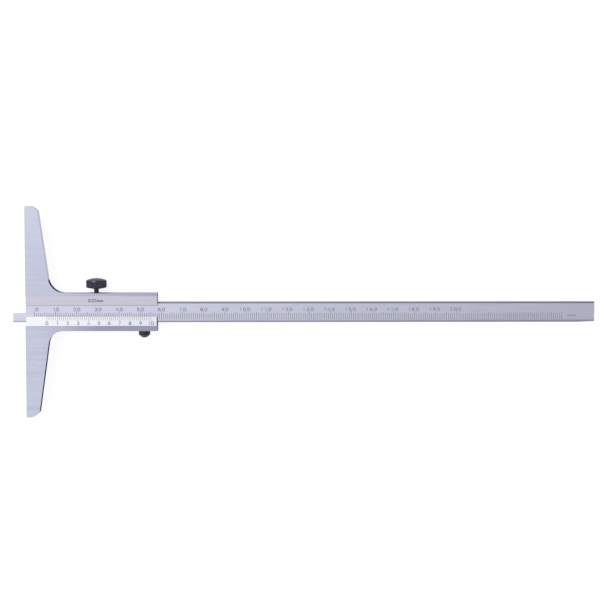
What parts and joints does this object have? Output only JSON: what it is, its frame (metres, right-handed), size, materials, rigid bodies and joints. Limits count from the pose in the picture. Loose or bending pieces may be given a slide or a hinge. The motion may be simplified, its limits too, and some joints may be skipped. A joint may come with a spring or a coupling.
{
  "type": "vernier depth gauge",
  "caption": "Vernier depth gauge: a T-shaped base and slider with a vernier plate, guiding a graduated beam with a narrow measuring tip, held by a black clamp knob.",
  "frame": {"origin": "on the measuring face, on the beam's centre line, at the back face of the base", "axes": "+X along the beam towards its far end, +Y across the beam towards the clamp knob, +Z out of the graduated front; the gauge lies on its back"},
  "size_m": [0.2754, 0.1, 0.0097],
  "materials": {
    "frame_steel": "fine ground grain along the beam",
    "beam_steel": "satin ground, grain along the beam",
    "strip_steel": "satin ground",
    "satin_chrome": "matt satin chrome",
    "screw_steel": "turned",
    "gib_brass": "dull rolled strip",
    "black_oxide": "semi-gloss blackened steel"
  },
  "bodies": {
    "frame": {"base_frame": "frame_steel", "upper_strip": "strip_steel", "vernier_plate": "satin_chrome", "strip_screws": "screw_steel", "stop_screw": "black_oxide"},
    "beam": {"beam": "beam_steel"},
    "gib": {"gib_strip": "gib_brass"},
    "clamp": {"clamp_screw": "black_oxide"}
  },
  "joints": [
    {"name": "beam_slide", "type": "slide", "parent": "frame", "child": "beam", "axis": [-1, 0, 0], "range_m": [-0.006, 0.194]},
    {"name": "gib_shift", "type": "slide", "parent": "frame", "child": "gib", "axis": [0, 1, 0], "range_m": [0, 0.000225]},
    {"name": "clamp_turn", "type": "hinge", "parent": "gib", "child": "clamp", "pos_m": [0.03325, 0, 0.00328], "axis": [0, 1, 0], "range_deg": [0, 180]}
  ],
  "couplings": [
    {"joint": "clamp_turn", "follows": "gib_shift", "rad_per_m": 13963}
  ]
}
